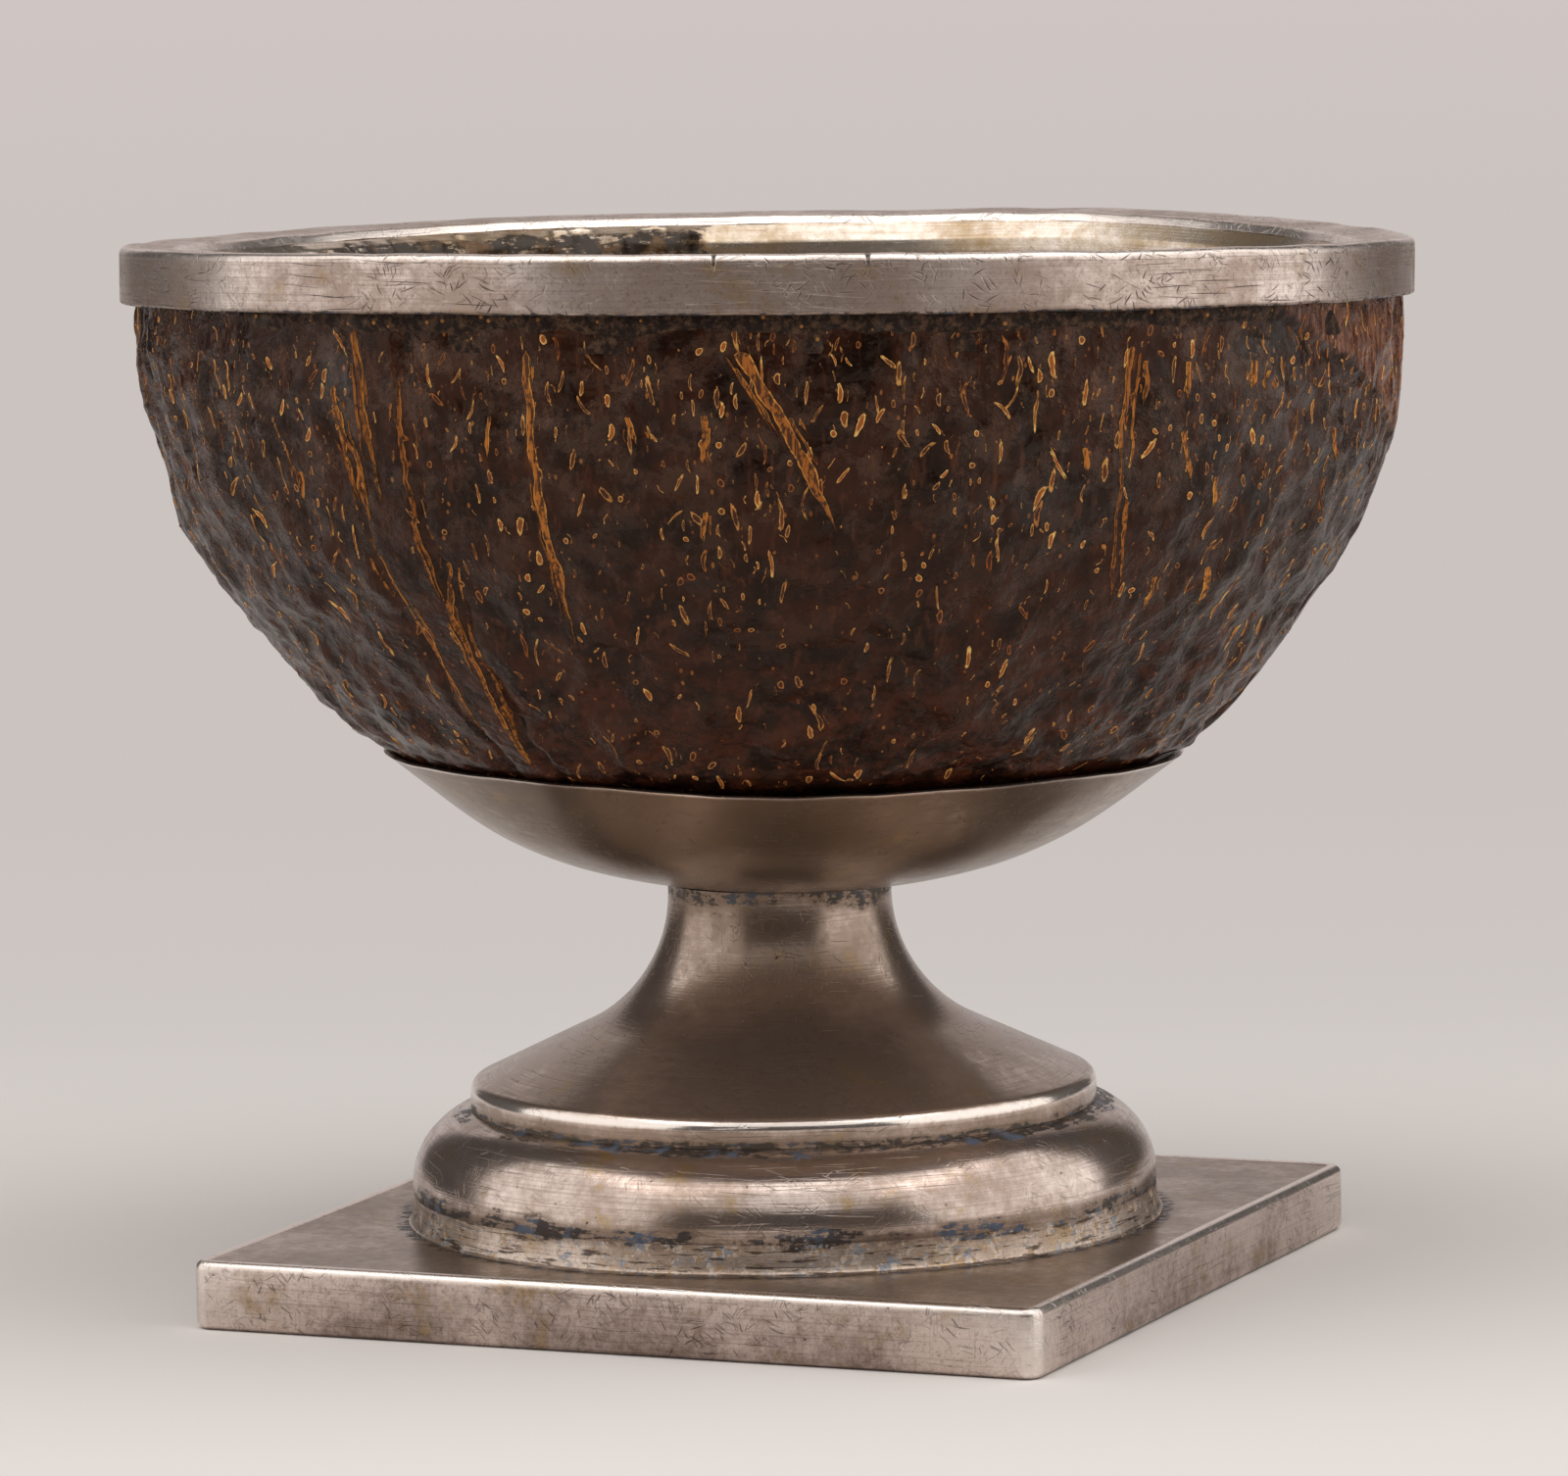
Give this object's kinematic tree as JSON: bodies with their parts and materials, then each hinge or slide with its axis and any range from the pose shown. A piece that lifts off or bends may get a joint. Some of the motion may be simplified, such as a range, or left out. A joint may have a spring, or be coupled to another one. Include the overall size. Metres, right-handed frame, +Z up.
{
  "type": "coconut cup",
  "caption": "Coconut shell cup with a silver lining and rim band, seated in a silver dish on a trumpet stem, half-round foot ring and square plinth.",
  "frame": {"origin": "on the table, under the middle of the square plinth", "axes": "+Z up along the axis of the cup, with the sides of the plinth along X and Y"},
  "size_m": [0.11, 0.11, 0.0902],
  "materials": {
    "silver": "worn, tarnished silver",
    "coconut": "scraped, waxed coconut shell with tan fibre ends",
    "putty": "dry gritty putty",
    "pitch": "hard black pitch",
    "brass": "dull old brass"
  },
  "bodies": {
    "root": {"rim_lip": "silver", "rim_band": "silver", "rim_putty": "putty", "bowl_liner": "silver", "stud_plate": "brass", "stud": "brass", "coconut_shell": "coconut", "calyx_pitch": "pitch", "calyx": "silver", "stem_cap": "silver", "stud_washer": "brass", "stud_nut": "brass", "stem": "silver", "foot_ring": "silver", "foot_flange": "silver", "plinth_plate": "silver", "plinth_frame": "silver"}
  },
  "joints": []
}
